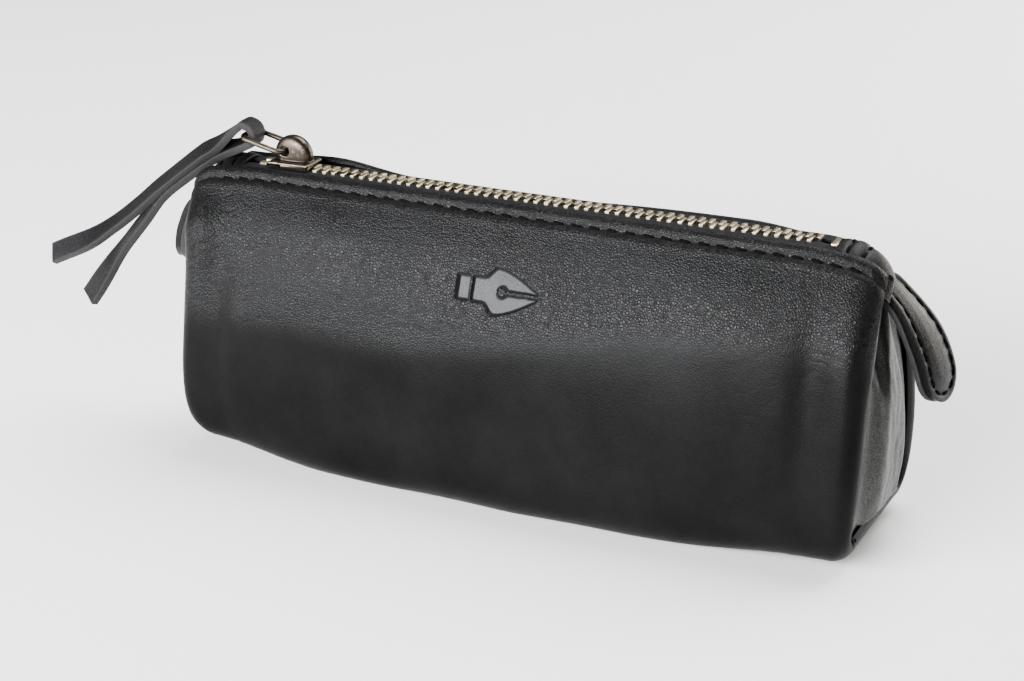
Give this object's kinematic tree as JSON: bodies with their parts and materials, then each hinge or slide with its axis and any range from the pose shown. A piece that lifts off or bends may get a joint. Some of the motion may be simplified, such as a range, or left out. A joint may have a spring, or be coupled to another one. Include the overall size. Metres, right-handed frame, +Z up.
{
  "type": "zip pen case",
  "caption": "Soft leather pen case with a lengthwise top zip, stitched hems, capped zip ends, a hanging tab at each end and a doubled leather zip pull.",
  "frame": {"origin": "middle of the flat base, at the surface that the case stands on", "axes": "+X along the zip, towards the end where the zip opens to; +Y from the front wall, which has the debossed emblem, to the back wall; +Z up"},
  "size_m": [0.2683, 0.057, 0.0921],
  "materials": {
    "shell_leather": "semi-gloss, fine pebble grain",
    "strap_leather": "satin, burnished edges",
    "lining_cloth": "plain weave",
    "zip_tape": "ribbed twill tape",
    "zip_brass": "aged, worn bright on top",
    "slider_brass": "dark antique, worn edges",
    "thread": "waxed"
  },
  "bodies": {
    "case": {"body_wrap": "shell_leather", "end_panel_left": "shell_leather", "end_panel_right": "shell_leather", "lining_body": "lining_cloth", "lining_end_left": "lining_cloth", "lining_end_right": "lining_cloth", "zip_bottom_stop": "zip_brass", "cap_left": "shell_leather", "cap_right": "shell_leather", "topstitch_front": "thread", "topstitch_back": "thread", "cap_stitches_left": "thread", "cap_stitches_right": "thread"},
    "zip_front": {"zip_tape_front": "zip_tape", "zip_teeth_front": "zip_brass", "zip_top_stop_front": "zip_brass"},
    "zip_back": {"zip_tape_back": "zip_tape", "zip_teeth_back": "zip_brass", "zip_top_stop_back": "zip_brass"},
    "slider": {"slider_body": "slider_brass"},
    "ring": {"puller_ring": "slider_brass"},
    "strap": {"pull_strap": "strap_leather"},
    "tab_left": {"tab_face_left": "shell_leather", "tab_backing_left": "strap_leather", "tab_stitches_left": "thread"},
    "tab_right": {"tab_face_right": "shell_leather", "tab_backing_right": "strap_leather", "tab_stitches_right": "thread"}
  },
  "joints": [
    {"name": "zip_slide", "type": "slide", "parent": "case", "child": "slider", "axis": [1, 0, 0], "range_m": [0, 0.145]},
    {"name": "zip_front_part", "type": "slide", "parent": "case", "child": "zip_front", "axis": [0, -1, 0], "range_m": [0, 0.011], "deforming": ["zip_tape_front", "zip_teeth_front", "zip_top_stop_front"]},
    {"name": "zip_back_part", "type": "slide", "parent": "case", "child": "zip_back", "axis": [0, 1, 0], "range_m": [0, 0.011], "deforming": ["zip_tape_back", "zip_teeth_back", "zip_top_stop_back"]},
    {"name": "ring_swing", "type": "hinge", "parent": "slider", "child": "ring", "pos_m": [-0.0735, 0, 0.085], "axis": [0, 1, 0], "range_deg": [0, 146]},
    {"name": "strap_swing", "type": "hinge", "parent": "ring", "child": "strap", "pos_m": [-0.08656, 0, 0.08801], "axis": [0, 1, 0], "range_deg": [0, 45]},
    {"name": "tab_left_bend", "type": "hinge", "parent": "case", "child": "tab_left", "pos_m": [-0.0993, 0, 0.06945], "axis": [0, 1, 0], "range_deg": [0, 15], "stiffness_Nm_per_rad": 0.002},
    {"name": "tab_right_bend", "type": "hinge", "parent": "case", "child": "tab_right", "pos_m": [0.0993, 0, 0.06945], "axis": [0, -1, 0], "range_deg": [0, 55], "stiffness_Nm_per_rad": 0.002}
  ],
  "couplings": [
    {"joint": "zip_front_part", "follows": "zip_slide", "ratio": 0.0758},
    {"joint": "zip_back_part", "follows": "zip_slide", "ratio": 0.0758},
    {"joint": "ring_swing", "follows": "zip_slide", "rad_per_m": 17.45}
  ]
}
